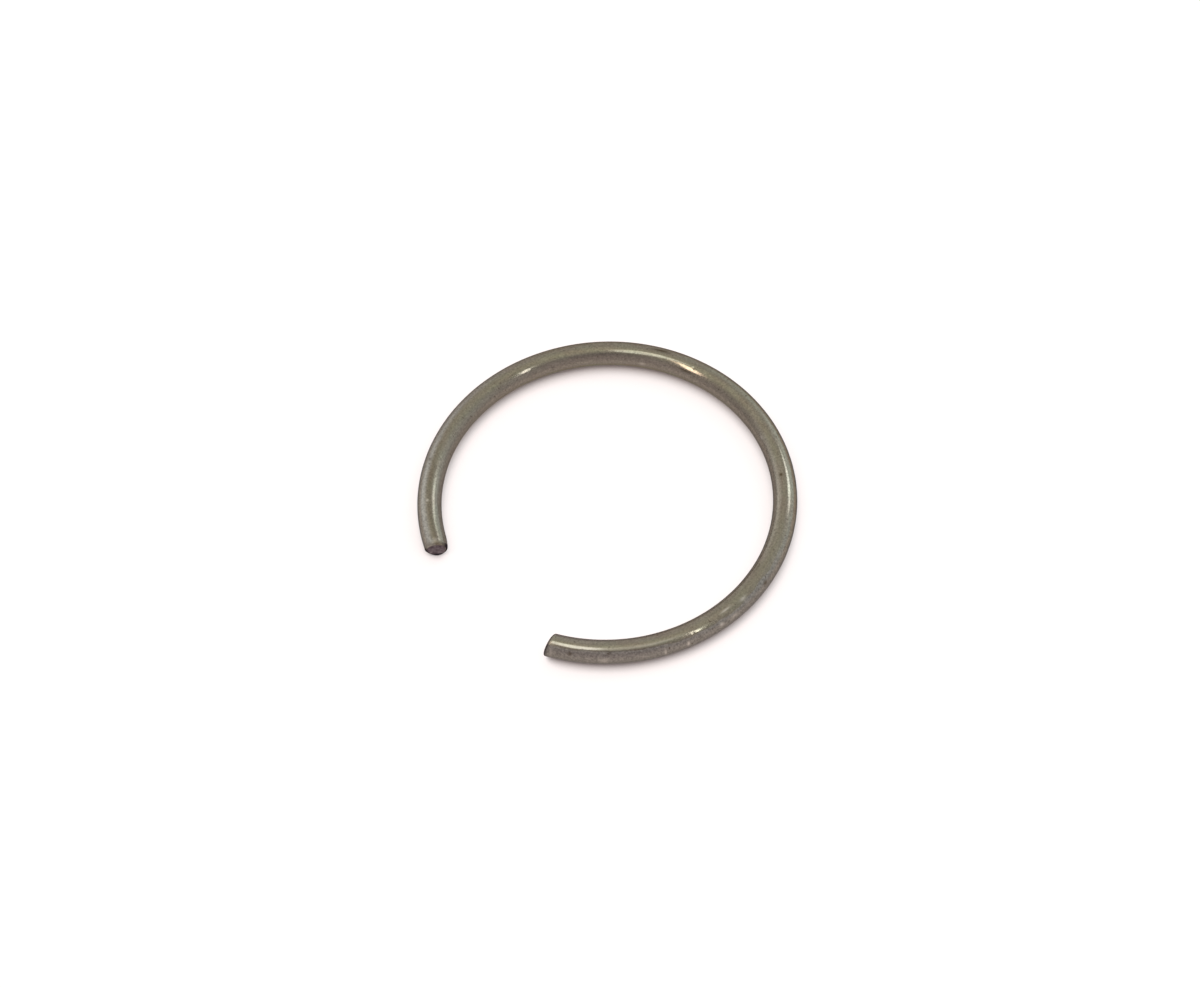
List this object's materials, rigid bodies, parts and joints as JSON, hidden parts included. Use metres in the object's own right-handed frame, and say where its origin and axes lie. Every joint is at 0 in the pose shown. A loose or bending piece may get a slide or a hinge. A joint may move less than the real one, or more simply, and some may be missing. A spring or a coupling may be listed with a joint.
{
  "type": "circlip retaining ring",
  "caption": "Round-wire snap ring: an open ring of spring wire with plain sheared ends, which sits in a groove and keeps a pin or shaft in its bore.",
  "frame": {"origin": "centre of the ring, at the middle of the wire's thickness", "axes": "+Z along the ring's axis, +Y away from the gap, so that the gap between the two ends faces -Y"},
  "size_m": [0.0248, 0.0236, 0.0016],
  "materials": {
    "spring_steel": "satin grey-brown drawn spring wire, with faint draw lines and coiling marks"
  },
  "bodies": {
    "root": {"circlip": "spring_steel"}
  },
  "joints": []
}
